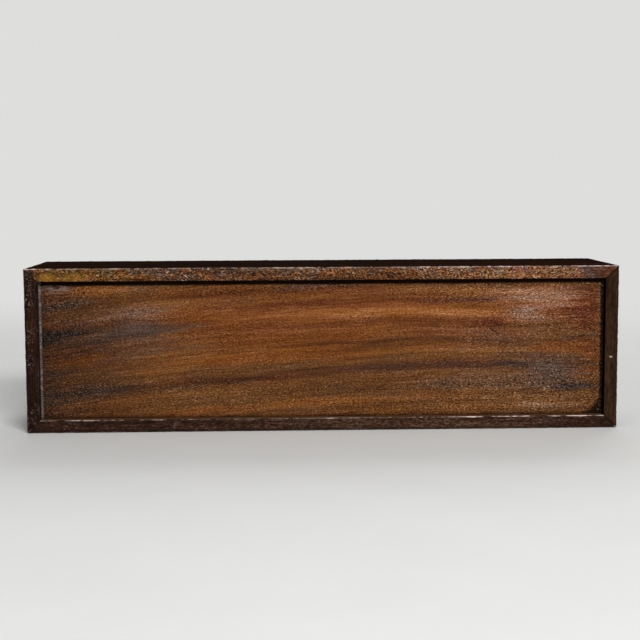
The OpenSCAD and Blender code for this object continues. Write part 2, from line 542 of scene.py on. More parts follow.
def crack(x, z, length, opening, slant):
    """A splinter-shaped waste: a slim block whose ends are pinched nearly to an edge."""
    low = (-length / 2, -overcut, -opening / 2)
    splinter = block("waste", low, (length / 2, crack_depth, opening / 2))
    cut_rows(splinter, 0, length / 4, shortest=length / 2)
    with editing(splinter):
        for end in (-length / 2, length / 2):
            pick_edges(splinter, edges_at(0, end))
            bpy.ops.transform.resize(value=(1, 1, crack_tip), center_override=(end, 0, 0))
        bpy.ops.mesh.select_all(action="SELECT")
        turn = math.radians(slant)
        bpy.ops.transform.rotate(value=turn, orient_axis="Y", center_override=(0, 0, 0))
        bpy.ops.transform.translate(value=(x, lid_low.y, z))
    return splinter


def rebate(**limits):
    """A waste block. Where no limit is given, it runs well past the lid."""
    far = 20 * MM
    ends = {
        "from_x": -half_length - far, "from_y": lid_low.y - far, "from_z": -far,
        "to_x": half_length + far, "to_y": back, "to_z": width + far, **limits,
    }
    return block("waste", *([ends[f"{end}_{c}"] for c in "xyz"] for end in ("from", "to")))


def lead_waste(up):
    """The wood outside the round of a leading corner: a small block with a rod sawn out."""
    corner_z = width / 2 + up * (lid_high.z - width / 2)
    zs = sorted([corner_z - up * lid_lead, corner_z + up * overcut])
    low = (lid_low.x - overcut, lid_low.y - overcut, zs[0])
    waste = block("waste", low, (lid_low.x + lid_lead, lid_high.y, zs[1]))
    bpy.ops.mesh.primitive_cylinder_add(
        vertices=64, radius=lid_lead, depth=rod_length, rotation=(math.pi / 2, 0, 0),
        location=(lid_low.x + lid_lead, lid_low.y, corner_z - up * lid_lead),
    )
    saw(waste, bpy.context.object)
    return waste


def lid_panel(name):
    lid = block(name, lid_low, lid_high)
    for axis in range(3):
        cut_rows(lid, axis, 1.5 * MM)
    wear(lid, "planing", size=34 * MM, depth=0.2 * MM)
    wear(lid, "ripple", size=7 * MM, depth=0.06 * MM)
    rear, shoulder = lid_low.y + lid_tongue, inner_x - glue_line
    inset, stop = wall + field_gap, wall + strip_stop
    saw(lid, rebate(from_y=rear, to_x=-inner_x + field_gap), rebate(from_y=rear, from_x=shoulder))
    saw(lid, rebate(from_y=rear, to_z=inset), rebate(from_y=rear, from_z=width - inset))
    saw(lid, rebate(from_x=shoulder, to_z=stop), rebate(from_x=shoulder, from_z=width - stop))
    saw(lid, *(crack(*sizes) for sizes in cracks))
    saw(lid, lead_waste(-1), lead_waste(1))
    return smooth_faces(lid)


lid = lid_panel("worn_lid_board")

# %% [markdown]
# ## The back panel
#
# The fixed bottom of the box, which is the back as it stands here. It is a raised panel:
# a tongue all round sits in the grooves, loose enough for the wood to swell, and the field
# stands proud of it. The field is inset and extruded from the tongue's face.

# %% Make the back panel
field_arris = 0.5 * MM


def rear_panel(name):
    shoulder_y = panel_low.y + back_tongue
    rise = (0, panel_high.y - shoulder_y, 0)
    panel = block(name, panel_low, (panel_high.x, shoulder_y, panel_high.z))
    with editing(panel):
        pick_edges(panel, edges_at(1, shoulder_y))
        bpy.ops.mesh.select_mode(type="FACE")
        bpy.ops.mesh.inset(thickness=back_reach + swell_gap, depth=0)
        bpy.ops.mesh.extrude_region_move(TRANSFORM_OT_translate={"value": rise})
    ease(panel, edges_at(1, panel_high.y), field_arris, 3)
    for axis in (0, 2):
        cut_rows(panel, axis, 2 * MM, shortest=40 * MM)
    wear(panel, "planing", size=30 * MM, depth=0.2 * MM)
    return smooth_faces(panel)


panel = rear_panel("worn_back_panel")

# %% [markdown]
# ## The pegs
#
# Three bamboo pegs are driven through the lid's end tongue from the hidden side. They
# were cut by hand, so their ends are slightly rounded.

# %% Make the pegs
peg_count = 3
peg_rounding = 0.2 * MM


def strip_pegs(name):
    sides, middle = pegs_high - pegs_low, (pegs_low + pegs_high) / 2
    tongue_length = width - 2 * wall - 2 * strip_stop
    made = []
    for i in range(peg_count):
        middle.z = wall + strip_stop + (i + 0.5) * tongue_length / peg_count
        bpy.ops.mesh.primitive_cylinder_add(
            vertices=32, radius=sides.x / 2, depth=sides.y, rotation=(math.pi / 2, 0, 0),
            location=middle,
        )
        bpy.ops.object.transform_apply()
        made.append(bpy.context.object)
    for peg in made:
        peg.select_set(True)
    bpy.ops.object.join()
    pegs = bpy.context.object
    pegs.name = name
    ease(pegs, edges_at(1, pegs_low.y, pegs_high.y), peg_rounding, 2)
    return smooth_faces(pegs)


pegs = strip_pegs("bamboo_pegs")

# %% [markdown]
# ## A shorthand for material nodes
#
# A wooden finish is a long sum: bands, fibres, pores, dirt and wear. Written node by node
# it would be unreadable, so one small class wraps a socket and turns arithmetic on it
# into Math nodes. Every other node comes from one method, which takes the node's type,
# its settings and the values or wires of its sockets. A wire knows the finish that it
# belongs to, so whatever is worked out from it lands in the same finish.

# %% A wire that can be added and multiplied
def operator(operation, turned=False):
    """A method that adds one Math node. The wire comes first in it or, if turned, last."""
    def method(wire, other):
        return wire.maths(operation, *((other, wire) if turned else (wire, other)))

    return method


class Wire:
    """A socket that gives a value. Arithmetic on it adds Math nodes."""

    def __init__(self, finish, socket):
        self.finish, self.socket = finish, socket

    def maths(self, operation, *operands):
        values = dict(enumerate(operands))
        return self.finish.node("ShaderNodeMath", {"operation": operation}, values)

    def __abs__(self):
        return self.maths("ABSOLUTE", self)

    __add__ = __radd__ = operator("ADD")
    __mul__ = __rmul__ = operator("MULTIPLY")
    __sub__, __rsub__ = operator("SUBTRACT"), operator("SUBTRACT", turned=True)
    __pow__ = operator("POWER")
    at_least, at_most = operator("MAXIMUM"), operator("MINIMUM")


# %% A finish and its one method for other nodes
class Finish:
    """The nodes of one finish, or of a world."""

    def __init__(self, name, world=None):
        self.material = world or bpy.data.materials.new(name)
        self.material.use_nodes = True
        self.tree = self.material.node_tree
        self.tree.nodes.clear()

    def node(self, kind, settings, values, output=0):
        """Adds one node: its settings first, then what goes into its sockets."""
        made = self.tree.nodes.new(kind)
        for name, setting in settings.items():
            if name == "stops":
                for place, colour in setting[2:]:
                    made.color_ramp.elements.new(place)
                for element, (place, colour) in zip(made.color_ramp.elements, setting):
                    element.position, element.color = place, (*colour, 1)
            else:
                setattr(made, name, setting)
        for name, value in values.items():
            if isinstance(value, Wire):
                self.tree.links.new(value.socket, made.inputs[name])
            elif made.inputs[name].type == "RGBA":
                made.inputs[name].default_value = (*value, 1)
            else:
                made.inputs[name].default_value = value
        return Wire(self, made.outputs[output]) if made.outputs else None

    def close(self, **values):
        """Ends the finish with its shader."""
        names = {name.replace("_", " "): value for name, value in values.items()}
        shader = self.node("ShaderNodeBsdfPrincipled", {}, names)
        self.node("ShaderNodeOutputMaterial", {}, {"Surface": shader})
        print(f"{self.material.name}: {len(self.tree.nodes)} nodes")
        return self.material


# %% [markdown]
# ## What wood is made of
#
# All wood patterns here are soft noise that is stretched along the grain: wide for bands,
# narrow for fibres, short for pores. The patterns read object coordinates in millimetres,
# so they run right through a board, and its end grain fits its face. A warp bends the
# coordinates first, because no real grain is straight.

# %% The layers that every wood uses
def stain(red, green, blue):
    """A colour as it shows on a screen, each part from 0 to 255, turned into light."""
    parts = (part / 255 for part in (red, green, blue))
    return tuple(p / 12.92 if p <= 0.04045 else ((p + 0.055) / 1.055) ** 2.4 for p in parts)


def place_in_mm(wood):
    metres = wood.node("ShaderNodeTexCoord", {}, {}, "Object")
    return wood.node("ShaderNodeVectorMath", {"operation": "SCALE"}, {0: metres, "Scale": 1 / MM})


def parts_of(place, axes="XYZ"):
    return [place.finish.node("ShaderNodeSeparateXYZ", {}, {0: place}, axis) for axis in axes]


def vector(operation, first, second):
    values = {0: first, 1: second}
    return first.finish.node("ShaderNodeVectorMath", {"operation": operation}, values)


def distance_out(place):
    return place.finish.node("ShaderNodeVectorMath", {"operation": "LENGTH"}, {0: place}, "Value")


def noise(place, size, detail=2, shift=0, output=0):
    """Soft noise from 0 to 1, in blobs that are about a size across in x, y and z."""
    scaled = vector("DIVIDE", place, size)
    if shift:
        scaled = vector("ADD", scaled, (shift, shift, shift))
    values = {"Vector": scaled, "Scale": 1, "Detail": detail}
    return place.finish.node("ShaderNodeTexNoise", {}, values, output)


def warp(place, size, amount):
    """Bends a place by soft noise, by up to about half an amount."""
    swing = vector("SUBTRACT", noise(place, size, output="Color"), (0.5, 0.5, 0.5))
    return vector("ADD", place, vector("MULTIPLY", swing, amount))


def step(value, low, high):
    """Rises softly from 0 to 1 as the value goes from low to high."""
    values = {"Value": value, "From Min": low, "From Max": high}
    settings = {"interpolation_type": "SMOOTHSTEP"}
    return value.finish.node("ShaderNodeMapRange", settings, values)


def tones(value, colours, places=(0, 0.35, 0.6, 1)):
    """Runs through some colours as the value passes their places."""
    stops = [(place, stain(*colour)) for place, colour in zip(places, colours)]
    return value.finish.node("ShaderNodeValToRGB", {"stops": stops}, {0: value})


def mix(amount, under, over, blend="MIX"):
    settings = {"data_type": "RGBA", "blend_type": blend, "clamp_factor": True}
    under, over = (c if isinstance(c, Wire) else stain(*c) for c in (under, over))
    return amount.finish.node("ShaderNodeMix", settings, {0: amount, 6: under, 7: over}, 2)


def patch(place, x, z, half_length, half_height):
    """1 in the middle of a long soft patch on the front, 0 outside it."""
    values = {"Vector": place, "Location": (x, 0, z), "Scale": (half_length, 1000, half_height)}
    local = place.finish.node("ShaderNodeMapping", {"vector_type": "TEXTURE"}, values)
    return step(distance_out(local), 1.15, 0.2)


def relief(height, strength, depth):
    """A bump, for the fibres and pores that are too fine to be shape."""
    values = {"Strength": strength, "Distance": depth, "Height": height}
    return height.finish.node("ShaderNodeBump", {}, values)


def waxed_finish(colour, roughness, height, strength, polish):
    """Ends a finish with a thin coat of wax, which takes the place of bare wood's shine."""
    return colour.finish.close(
        Base_Color=colour, Roughness=roughness, Normal=relief(height, strength, 0.25 * MM),
        Coat_Weight=polish, Coat_Roughness=0.38, Specular_IOR_Level=0,
    )


# %% [markdown]
# ## The figured wood of the lid
#
# The lid is brown hardwood with golden and nearly black figure along the grain. On this
# board the figure climbs from the left, half as steeply at the top as lower down, and
# levels out on the right. So the place is first straightened, and then every band can be
# drawn level. The large bands are placed one by one as long soft patches, because each board
# of real wood has its own. Before a patch is drawn, each line of the grain is shifted by
# its own amount, so that a band ends in fibres and not in a soft brush mark. Over that
# lies a fine curl, and the pores are short dashes: dark where they are empty, pale where
# old wax and dust have filled them.

# %% Straighten the figure
sag_rate, level_from = 0.0048, 70
flatter_from, flatter_to = 40, 96


def sag(left_of_level, up):
    """How far the figure lies below its level part, for numbers or for wires."""
    return sag_rate * left_of_level ** 1.5 * (1 - up * up * (1.5 - up))


def straightened(place):
    x, y, z = parts_of(place)
    up = ((z - flatter_from) * (1 / (flatter_to - flatter_from))).at_least(0).at_most(1)
    level_z = z + sag((level_from - x).at_least(0), up)
    return place.finish.node("ShaderNodeCombineXYZ", {}, {0: x, 1: y, 2: level_z})


# %% Patches, listed one by one
# Each is x, z, half length, half height, and then how much lighter, more golden, redder,
# more ashen and more waxed the wood is there. What a row leaves out at its end is 0.
figure_patches = [
    (-20, 35, 165, 4.2, -0.13, 0, 0.2, 0.1),
    (-140, 25, 46, 6, -0.06, -0.3, 0, 0.3, 0.2),
    (60, 39, 66, 3.6, -0.06, 0, 0.3, 0.3),
    (113, 39, 15, 3.6, -0.12, 0, 0, 0.5, 0.2),
    (38, 54, 90, 1.8, -0.11, 0, 0.2, 0.1),
    (101, 66, 15, 3.8, -0.11, 0.8, 1.1, -1),
    (105, 64, 6, 1.6, -0.14, 0, 0.4),
    (-30, 76, 50, 2, -0.06, 0, 0.3),
    (-30, 62, 50, 2.4, -0.05, 0, 0.2),
    (62, 79, 36, 2.2, -0.09, 0, 0.5, 0, 0.2),
    (98, 80, 18, 2.4, -0.1, 0, 0.5, 0.1, 0.2),
    (-75, 84, 46, 5, -0.06, 0.5, 0.1, -0.2),
    (-20, 85, 70, 4, -0.07, 0.5, 0.2, -0.2),
    (-8, 87, 36, 3, -0.06, 0, 0, 0.3, 0.6),
    (-160, 59, 20, 4.2, -0.22, -0.3, 0, 0.4, 0.4),
    (-108, 61, 48, 6, -0.03, -0.2, 0.1, 0.4, 0.1),
    (-150, 52, 26, 5, -0.08, 0.3, 0, 0.1),
    (-172, 40, 14, 60, -0.12, 0, 0, 0, 0.2),
    (-156, 78, 22, 3.4, -0.03, 0, 0, 0.3, 0.6),
    (154, 25, 15, 2.8, -0.22, 0, 0, 0.6, 0.4),
    (146, 34, 32, 12, -0.07, 0, 0, 0.4, 0.4),
    (160, 56, 9, 8, -0.08, 0, 0, 0.3, 0.2),
    (163, 82, 12, 8, -0.15, 0.5, 0.5),
    (148, 50, 26, 5, -0.03, 1.2, 0.3, -0.4),
    (172, 40, 7, 60, -0.08),
    (-140, 86, 34, 3, 0.12, 0.8, 0, 0, 0.2),
    (-112, 72, 42, 7, 0.1, 0, 0.2, 0.3, 0.3),
    (-92, 43, 40, 8, 0.07, 0.2),
    (-105, 57, 36, 6, 0.02, 0, 0.1, 0.1),
    (-40, 45, 60, 4.4, 0.05, 0.6),
    (20, 46, 60, 3.2, 0.06, 0.4),
    (100, 48, 50, 3.2, 0.09, 0.3, 0.2),
    (-10, 57, 80, 3.2, 0.02, 0.8),
    (30, 72, 70, 4, 0.13, 0.9),
    (-45, 71, 50, 6, 0.06, 0.9),
    (88, 72, 30, 4, 0.11, 0.3, 0.3),
    # The next patch is a painted sheen: the lamp's pinkish grey reflection on the lid's upper
    # right.
    (132, 80, 34, 9, 0.17, 0, 0.7, 0.2, 0.1),
    (126, 70, 24, 6, 0.12, 0, 0.4, 0.5),
    (138, 14, 28, 5, 0.09, 0, 0.2, 0.2, 0.3),
    (156, 72, 20, 10, -0.08, 0.5, 0.6, -0.1),
    (110, 57, 50, 4, 0.05, 0, 0.3, 0.1),
    (90, 61, 50, 2.8, 0.06, 0, 0.4),
    (-25, 15, 90, 4.6, 0.07, 0.8, 0, 0, 0.2),
    (60, 12, 80, 3, 0.04, 0.3),
    (96, 28, 44, 7, 0, 0, 0, 0.15, 0.3),
    (168, 54, 8, 26, -0.04, 2.6, 0.3, -1.8),
    (-150, 43, 24, 6, -0.02, 0.5),
    (0, 70, 150, 18, 0, 1, 0.3),
    (-10, 50, 110, 10, 0, 0.5, 0.1),
    (36, 28, 76, 6, -0.07),
    (-55, 31, 34, 3.6, -0.07, 0, 0, 0.1),
    (2, 57, 40, 6, -0.05),
    (-118, 54, 48, 22, 0, 0, 0, 0.35),
    (118, 42, 46, 22, 0, 0, 0, 0.3),
    (163, 68, 14, 14, -0.08, 0.2, 0.3),
    (18, 68, 16, 4, 0, 0, 0, 0.2, 0.4),
]


def sum_patches(figure):
    """The five sums over all patches: lighter, golden, red, ashen, waxed."""
    totals = [0] * 5
    for x, z, half_length, half_height, *strengths in figure_patches:
        strengths += [0] * (len(totals) - len(strengths))
        up = min(max((z - flatter_from) / (flatter_to - flatter_from), 0), 1)
        level_z = z + sag(max(level_from - x, 0), up)
        mask = patch(figure, x, level_z, half_length, half_height)
        totals = [mask * s + total if s else total for s, total in zip(strengths, totals)]
    return totals


# %% The lid's finish
lid_tones = (0, 0.22, 0.4, 0.55, 0.7, 0.85, 1)


def figured_wood():
    wood = Finish("figured_hardwood")
    place = place_in_mm(wood)
    x, y, z = parts_of(place)

    # The grain wanders at two scales, and each line of it is shifted by its own amount.
    figure = straightened(place)
    grain = warp(figure, (80, 60, 26), (14, 0, 5))
    grain = warp(grain, (16, 20, 5), (5, 0, 1.4))
    ragged = warp(grain, (50, 9, 1.3), (60, 0, 0))
    ragged = warp(ragged, (12, 9, 3), (10, 0, 3))
    curled = warp(figure, (7, 5, 3), (5, 0, 2.4))

    lighter, golden, redder, greyer, waxier = sum_patches(ragged)
    broad = noise(grain, (150, 40, 6), 3) - 0.5
    # The left end is darker, partly in the wood and partly as painted shade where the light falls
    # off.
    tone = lighter + 0.36 * broad - 0.14 * step(x, -90, -165)

    # Fibres run along the grain, and the fine curl breaks them up, in some areas more.
    fibre = noise(grain, (24, 6, 0.9), 3) - 0.5
    thread = noise(curled, (4.5, 4, 0.75), 2, 7) - 0.5
    fleck = noise(curled, (1.2, 2, 0.62), 1, 11) - 0.5
    busy = 0.55 + 0.25 * (step(x, -120, -160) + step(z, 38, 28) + step(z, 76, 86))
    busy = busy + 0.4 * step(x, 10, 150) + 0.9 * (noise(grain, (50, 20, 9), 2, 3) - 0.45)
    waxed_area = (waxier + 0.8 * (noise(place, (30, 20, 12), 3, 5) - 0.45)).at_least(0)
    tone = tone + 0.5 + 0.34 * fibre + (busy + 0.4 * waxed_area) * (0.35 * thread + 1.15 * fleck)

    brown = tones(tone, [
        (12, 7, 3), (46, 26, 11), (79, 47, 20), (106, 67, 32),
        (134, 92, 50), (165, 122, 80), (206, 172, 134),
    ], lid_tones)
    gold = tones(tone, [
        (12, 6, 2), (50, 24, 6), (88, 46, 11), (119, 67, 20),
        (149, 91, 35), (177, 120, 60), (210, 168, 112),
    ], lid_tones)
    red = tones(tone, [
        (16, 7, 4), (58, 22, 8), (96, 46, 20), (124, 70, 44),
        (148, 98, 72), (176, 132, 106), (212, 180, 156),
    ], lid_tones)
    ashen = tones(tone, [
        (10, 7, 5), (38, 26, 21), (66, 49, 42), (92, 74, 65),
        (124, 106, 95), (160, 144, 133), (206, 196, 187),
    ], lid_tones)
    goldness = golden + 1.4 * (noise(grain, (60, 30, 6), 3, 13) - 0.44)
    redness = redder + 1.2 * (noise(grain, (50, 30, 5), 3, 3) - 0.5)
    greyness = greyer + 1.2 * (noise(grain, (30, 30, 3.4), 3, 17) - 0.55)
    greyness = greyness + 0.4 * waxed_area + 0.8 * fleck - 0.25 * goldness
    colour = mix(redness, mix(goldness, brown, gold), red)
    colour = mix(greyness, colour, ashen)

    # Pores are short dashes. Wax fills them where hands and cloths don't reach.
    dashes = noise(curled, (2, 2, 0.7), 1, 21)
    empty = step(dashes, 0.6, 0.74)
    colour = mix(0.55 * empty, colour, (12, 7, 4))
    specks = noise(curled, (1.1, 1, 0.6), 1, 40)
    waxed = step(specks, 0.56, 0.72) * (waxed_area + 0.8 * step(x, 167.5, 169.5))
    colour = mix(0.5 * waxed, colour, (176, 162, 150))

    # Along the rim the lid is darkened: a painted shadow under the top rail, painted shade with
    # dirt in the gap at the pull end, a thin line of dirt and painted shade along part of its lower
    # edge, and a darker rounded patch in the pull end's lower corner.
    edge_noise = 2.4 * (noise(place, (7, 5, 3), 3, 2) - 0.5)
    rail_shadow = step(z + 0.3 * edge_noise, 88.4, 89.8)
    over_rail = 0.3 * step(z + 0.6 * edge_noise, 9, 8.3) * step(x, 60, 20)
    pull_gap_shade_and_dirt = step(x + edge_noise, 169.4, 170.8)
    corner_x, corner_z = (x - 156).at_least(0), (24 - z).at_least(0)
    corner = step(corner_x * corner_x + corner_z * corner_z + 24 * edge_noise, 190, 280)
    beside_rim = 0.9 * corner.at_least(pull_gap_shade_and_dirt) * (1 - 0.5 * waxed)
    shadow_and_grime = beside_rim.at_least(0.96 * rail_shadow + over_rail)
    colour = mix(shadow_and_grime, colour, (13, 8, 6))

    # Dust lies in a broken line along the left end, and as a haze in the upper left corner.
    broken = 0.35 + 0.65 * step(noise(place, (2, 2, 2.2), 3, 9), 0.48, 0.62)
    below_face = y - lid_low.y / MM
    on_face = step(below_face, 1.5, 0.5)
    left_dust = step(x + 0.3 * edge_noise, -170.5, -171.1) * broken * on_face
    haze = (0.4 + 3 * thread) * patch(place, -162, 87, 14, 4) * (1 - rail_shadow)
    colour = mix(0.6 * haze + 0.95 * left_dust, colour, (132, 124, 120))

    # The walls inside a crack are painted dark.
    in_crack = step(below_face, 0.3, 0.6) * step(below_face, 2.8, 2.4)
    colour = mix(in_crack, colour, (14, 8, 5))

    height = 0.6 * fleck + 0.5 * fibre - 0.5 * empty
    roughness = 0.45 + 0.25 * fleck + 0.2 * shadow_and_grime + 0.2 * waxed
    polish = 0.16 - 0.14 * shadow_and_grime
    return waxed_finish(colour, roughness, height, 0.35, polish)


lid_wood = figured_wood()

# %% [markdown]
# ## The dark wood of the boards
#
# The frame is of the same family of wood, stained nearly black by age on the outside. On
# the rim round the lid it has been rubbed back, most on the top rail, where the curled
# grain shows golden with pale waxed flecks, partly painted glints of the curl. The arrises
# are rubbed pale and carry painted highlights, and the walls of the recess carry painted
# shade, with painted light where they face the lamp. Inside, behind the lid, the wood has
# stayed clean and paler. Both boards of a corner draw the same hairlines, from the rule
# that laid out the joints.

# %% Masks that know the box
far_off = 9


def box_masks(place):
    """Where a point lies on the whole box, in mm: how far behind the rim, from the outer
    arrises, from the opening's arris and past the opening. Then 1 on a joint's line."""
    x, y, z = parts_of(place)
    gap_x = half_length / MM - abs(x)
    depth = y - front / MM
    gap_y = depth.at_most(back / MM - y)
    gap_z = z.at_most(width / MM - z)
    outer = gap_x + gap_y + gap_z - gap_x.at_least(gap_y).at_least(gap_z)
    past_x = abs(x) - inner_x / MM
    past_z = abs(z - width / 2 / MM) - (width / 2 - wall) / MM
    past = past_x.at_least(past_z)
    opening = depth + abs(past)

    pitch = tail_pitch / MM
    along = y.maths("PINGPONG", y - joint_start / MM, pitch / 2)
    tail_edge = abs((pitch / 2 - along) - (tail_root / 2 / MM + tail_slope * past_x))
    after_start = step(y, joint_start / MM - 0.1, joint_start / MM)
    before_end = step(y, joint_end / MM + 0.1, joint_end / MM)
    in_row = after_start * before_end
    nearer = past_x.at_most(past_z)
    in_corner = step(nearer, -0.05, 0)
    on_baseline = abs(past_x).at_most(abs(past_z)) + far_off * (1 - step(nearer, -0.4, -0.2))
    on_tail = tail_edge + far_off * (1 - in_corner)
    tails = in_row * step(on_tail.at_most(on_baseline), 0.22, 0.08)
    mitre = in_corner * (1 - in_row) * step(abs(past_x - past_z), 0.4, 0.12)
    return depth, outer, opening, past, tails.at_least(mitre)


# %% The finish of a board
lid_depth, rear_depth = (lid_low.y - front) / MM, (panel_high.y - front) / MM
aged = [(10, 6, 4), (27, 15, 9), (42, 24, 15), (84, 56, 40)]
clean = [(34, 20, 12), (66, 42, 27), (92, 61, 40), (140, 102, 74)]


def board_wood(name, along, rim_colours, look, edges, recess=(14, 10, 8), polish=0.05):
    """Dark hardwood whose grain runs along one axis, with its own look on the rim."""
    place = place_in_mm(Finish(name))
    depth, outer, opening, past, joint = box_masks(place)

    def run(length, thickness):
        return tuple(length if axis == along else thickness for axis in range(3))

    grain = warp(place, run(60, 14), run(0, 4))
    curled = warp(grain, run(7, 3), run(4, 2.4))
    bands = noise(grain, run(110, 6), 3) - 0.5
    fibre = noise(grain, run(26, 1.1), 3, 4) - 0.5
    curl = noise(curled, run(3.6, 1), 2, 11) - 0.5
    tone = 0.45 + 0.7 * bands + 0.7 * fibre + 0.9 * curl
    if along == 0:
        [x] = parts_of(place, "X")
        end_grain = step(abs(x), half_length / MM - 0.5, half_length / MM - 0.2)
        tone = tone - 0.22 * end_grain
    on_rim = step(depth + 0.6 * fibre, 1.2, 0.5)

    pores = step(noise(curled, run(2.6, 0.8), 1, 30), 0.6, 0.72)
    colour = mix(on_rim, tones(tone, aged), look(place, curled, tone, rim_colours))
    colour = mix(0.5 * pores, colour, (10, 6, 4))

    # The walls of the recess round the lid get a painted tone: painted shade by default, and
    # painted light on walls that face the lamp. The inside stays clean.
    in_opening = step(past, 0.6, 0.2)
    in_recess = in_opening * step(depth, 0.7, 1.6) * step(depth, lid_depth + 1, lid_depth)
    colour = mix(0.85 * in_recess, colour, recess)
    inside = in_opening * step(depth, lid_depth, lid_depth + 1)
    inside = inside * step(depth, rear_depth - 0.3, rear_depth - 0.8)
    colour = mix(inside, colour, tones(tone, clean))

    # The arrises are rubbed pale and carry painted highlights, the outer ones most near the rim.
    rubbed = noise(place, (9, 9, 9), 3, 8) - 0.5
    outer_edge = step(outer + 0.9 * rubbed, 1, 0.45)
    inner_edge = step(opening + 1.1 * rubbed, 0.8, 0.3)
    outer_wear_and_highlight, inner_wear_and_highlight, wear_and_highlight_colour = edges(place)
    outer_wear_and_highlight = outer_wear_and_highlight * (0.25 + 0.75 * step(depth, 4, 1)) * outer_edge
    colour = mix(outer_wear_and_highlight.at_least(inner_wear_and_highlight * inner_edge), colour, wear_and_highlight_colour)
    colour = mix(0.8 * joint, colour, (6, 4, 3))

    height = 0.6 * (curl + fibre - pores) - joint
    roughness = 0.5 + 0.3 * curl - 0.1 * outer_edge + 0.15 * pores
    return waxed_finish(colour, roughness, height, 0.4, 0.005 + polish * on_rim)


# %% The top rail: golden, then curled with pale flecks, partly painted glints, then orange
top_tones = (0, 0.25, 0.45, 0.6, 0.75, 1)


def strokes(place, angle, shift):
    """Short strokes across the grain at an angle."""
    values = {"Vector": place, "Rotation": (0, angle, 0)}
    slanted = place.finish.node("ShaderNodeMapping", {"vector_type": "TEXTURE"}, values)
    return noise(slanted, (1.7, 2, 0.42), 2, shift) - 0.5


def top_look(place, curled, tone, colours):
    x, z = parts_of(place, "XZ")
    leaning = step(noise(place, (14, 9, 9), 1, 12), 0.42, 0.58)
    down, up = strokes(curled, 0.6, 3), strokes(curled, -0.45, 8)
    crossed = down * leaning + up * (1 - leaning)
    curly = 2.15 + 0.1 * step(x, 50, 100) - 0.7 * patch(place, -160, 92, 14, 12)
    lit = 0.07 * step(x, 30, 90) - 0.05 * patch(place, -70, 96, 60, 90) - 0.05
    tone = 0.5 + 0.6 * (tone - 0.5) + lit + curly * crossed
    brown = tones(tone, colours, top_tones)
    orange = tones(tone, [
        (16, 8, 4), (62, 32, 16), (118, 72, 36), (152, 100, 56), (184, 142, 100), (222, 200, 180),
    ], top_tones)
    ashen = tones(tone, [
        (10, 10, 12), (38, 32, 30), (84, 73, 65), (120, 109, 101), (166, 158, 150), (220, 217, 212),
    ], top_tones)
    to_right = step(x, -90, 110)
    orange_spots = step(noise(place, (6, 9, 3.5), 2, 14) + 0.1 * to_right, 0.48, 0.6)
    ashen_spots = noise(place, (5, 9, 3), 2, 23) + 0.02 * (z - 96) - 0.04 * to_right
    ashen_spots = step(ashen_spots, 0.48, 0.62)
    colour = mix(0.8 * orange_spots, brown, orange)
    colour = mix(0.62 * ashen_spots * step(x, -158, -130), colour, ashen)

    golden = patch(place, -166, 94, 9, 4) + patch(place, -150, 94, 10, 4)
    colour = mix(step(x, -90, -130), colour, (255, 250, 212), "MULTIPLY")
    colour = mix(0.25 * golden, colour, (194, 142, 52))
    warmer = step(x, -130, -100) * step(x, 80, 30)
    colour = mix(0.8 * warmer, colour, (248, 230, 218), "MULTIPLY")
    pink = noise(place, (9, 9, 5), 2, 37)
    pinkness = step(x, 50, 90) * step(pink, 0.44, 0.6)
    colour = mix(pinkness, colour, (255, 236, 255), "MULTIPLY")
    colour = mix(0.75 * patch(place, 163, 96, 8, 12), colour, (58, 40, 40))
    colour = mix(0.8 * patch(place, 173, 95, 9, 14), colour, (68, 30, 16))
    colour = mix(0.7 * step(x, -168, -176), colour, (44, 28, 20))
    # Dark pits and pale flecks along the curl: pores and wax, and also painted shade and painted
    # glints on the curled relief.
    pits_and_curl_shade = step(crossed, -0.1, -0.17) * (0.3 + 0.7 * patch(place, 42, 96, 26, 40))
    colour = mix(pits_and_curl_shade, colour, (18, 13, 12))
    pale = step(crossed, 0.08, 0.17) * step(noise(place, (8, 9, 5), 1, 44), 0.46, 0.6)
    return mix(pale * (0.15 + 0.5 * patch(place, -84, 98, 44, 30)), colour, (206, 198, 184))


def top_edges(place):
    [x] = parts_of(place, "X")
    # The outer arris is rubbed pale and carries a painted highlight, brighter near both ends.
    worn = noise(place, (22, 9, 9), 3, 31)
    ends = 0.5 * step(x, 70, 100) + 0.4 * step(x, -110, -150)
    return 0.1 + worn + ends, 0.06, (198, 182, 172)


# %% The bottom rail: dark, with a thin bright line along the lid, a painted highlight with wear, and painted shade at its foot
def fine_flecks(place, curled, colour, amount, shade):
    specks = step(noise(curled, (1.2, 1.2, 0.8), 1, 50), 0.58, 0.7)
    clusters = step(noise(place, (12, 20, 12), 2, 6), 0.42, 0.66)
    return mix(amount * specks * clusters, colour, shade)


def bottom_look(place, curled, tone, colours):
    x, z = parts_of(place, "XZ")
    fine = noise(curled, (1.6, 2, 0.6), 1, 15) - 0.5
    colour = tones(tone + 0.9 * fine + 0.13 * patch(place, 76, 4, 84, 40), colours)
    # The foot of the rail is painted darker: painted shade along its lower arris.
    colour = mix(0.4 * step(z, 3, 0.6), colour, (30, 20, 15))
    colour = mix(0.6 * step(x, -166, -176), colour, (36, 22, 17))
    colour = mix(0.7 * step(x, 162, 177), colour, (34, 23, 16))
    return fine_flecks(place, curled, colour, 0.35, (120, 108, 98))


def bottom_edges(place):
    [x] = parts_of(place, "X")
    worn = noise(place, (14, 9, 9), 4, 31)
    # The bright line along the lid is a painted highlight on the lit ledge and its arris, with
    # wear; its strength changes along the rail.
    bright = 0.34 + 0.35 * step(x, -70, -120) + 0.2 * step(x, -10, 30) + 0.8 * step(x, 50, 110)
    return 0.12, bright * (0.7 + 0.8 * worn), (236, 212, 200)


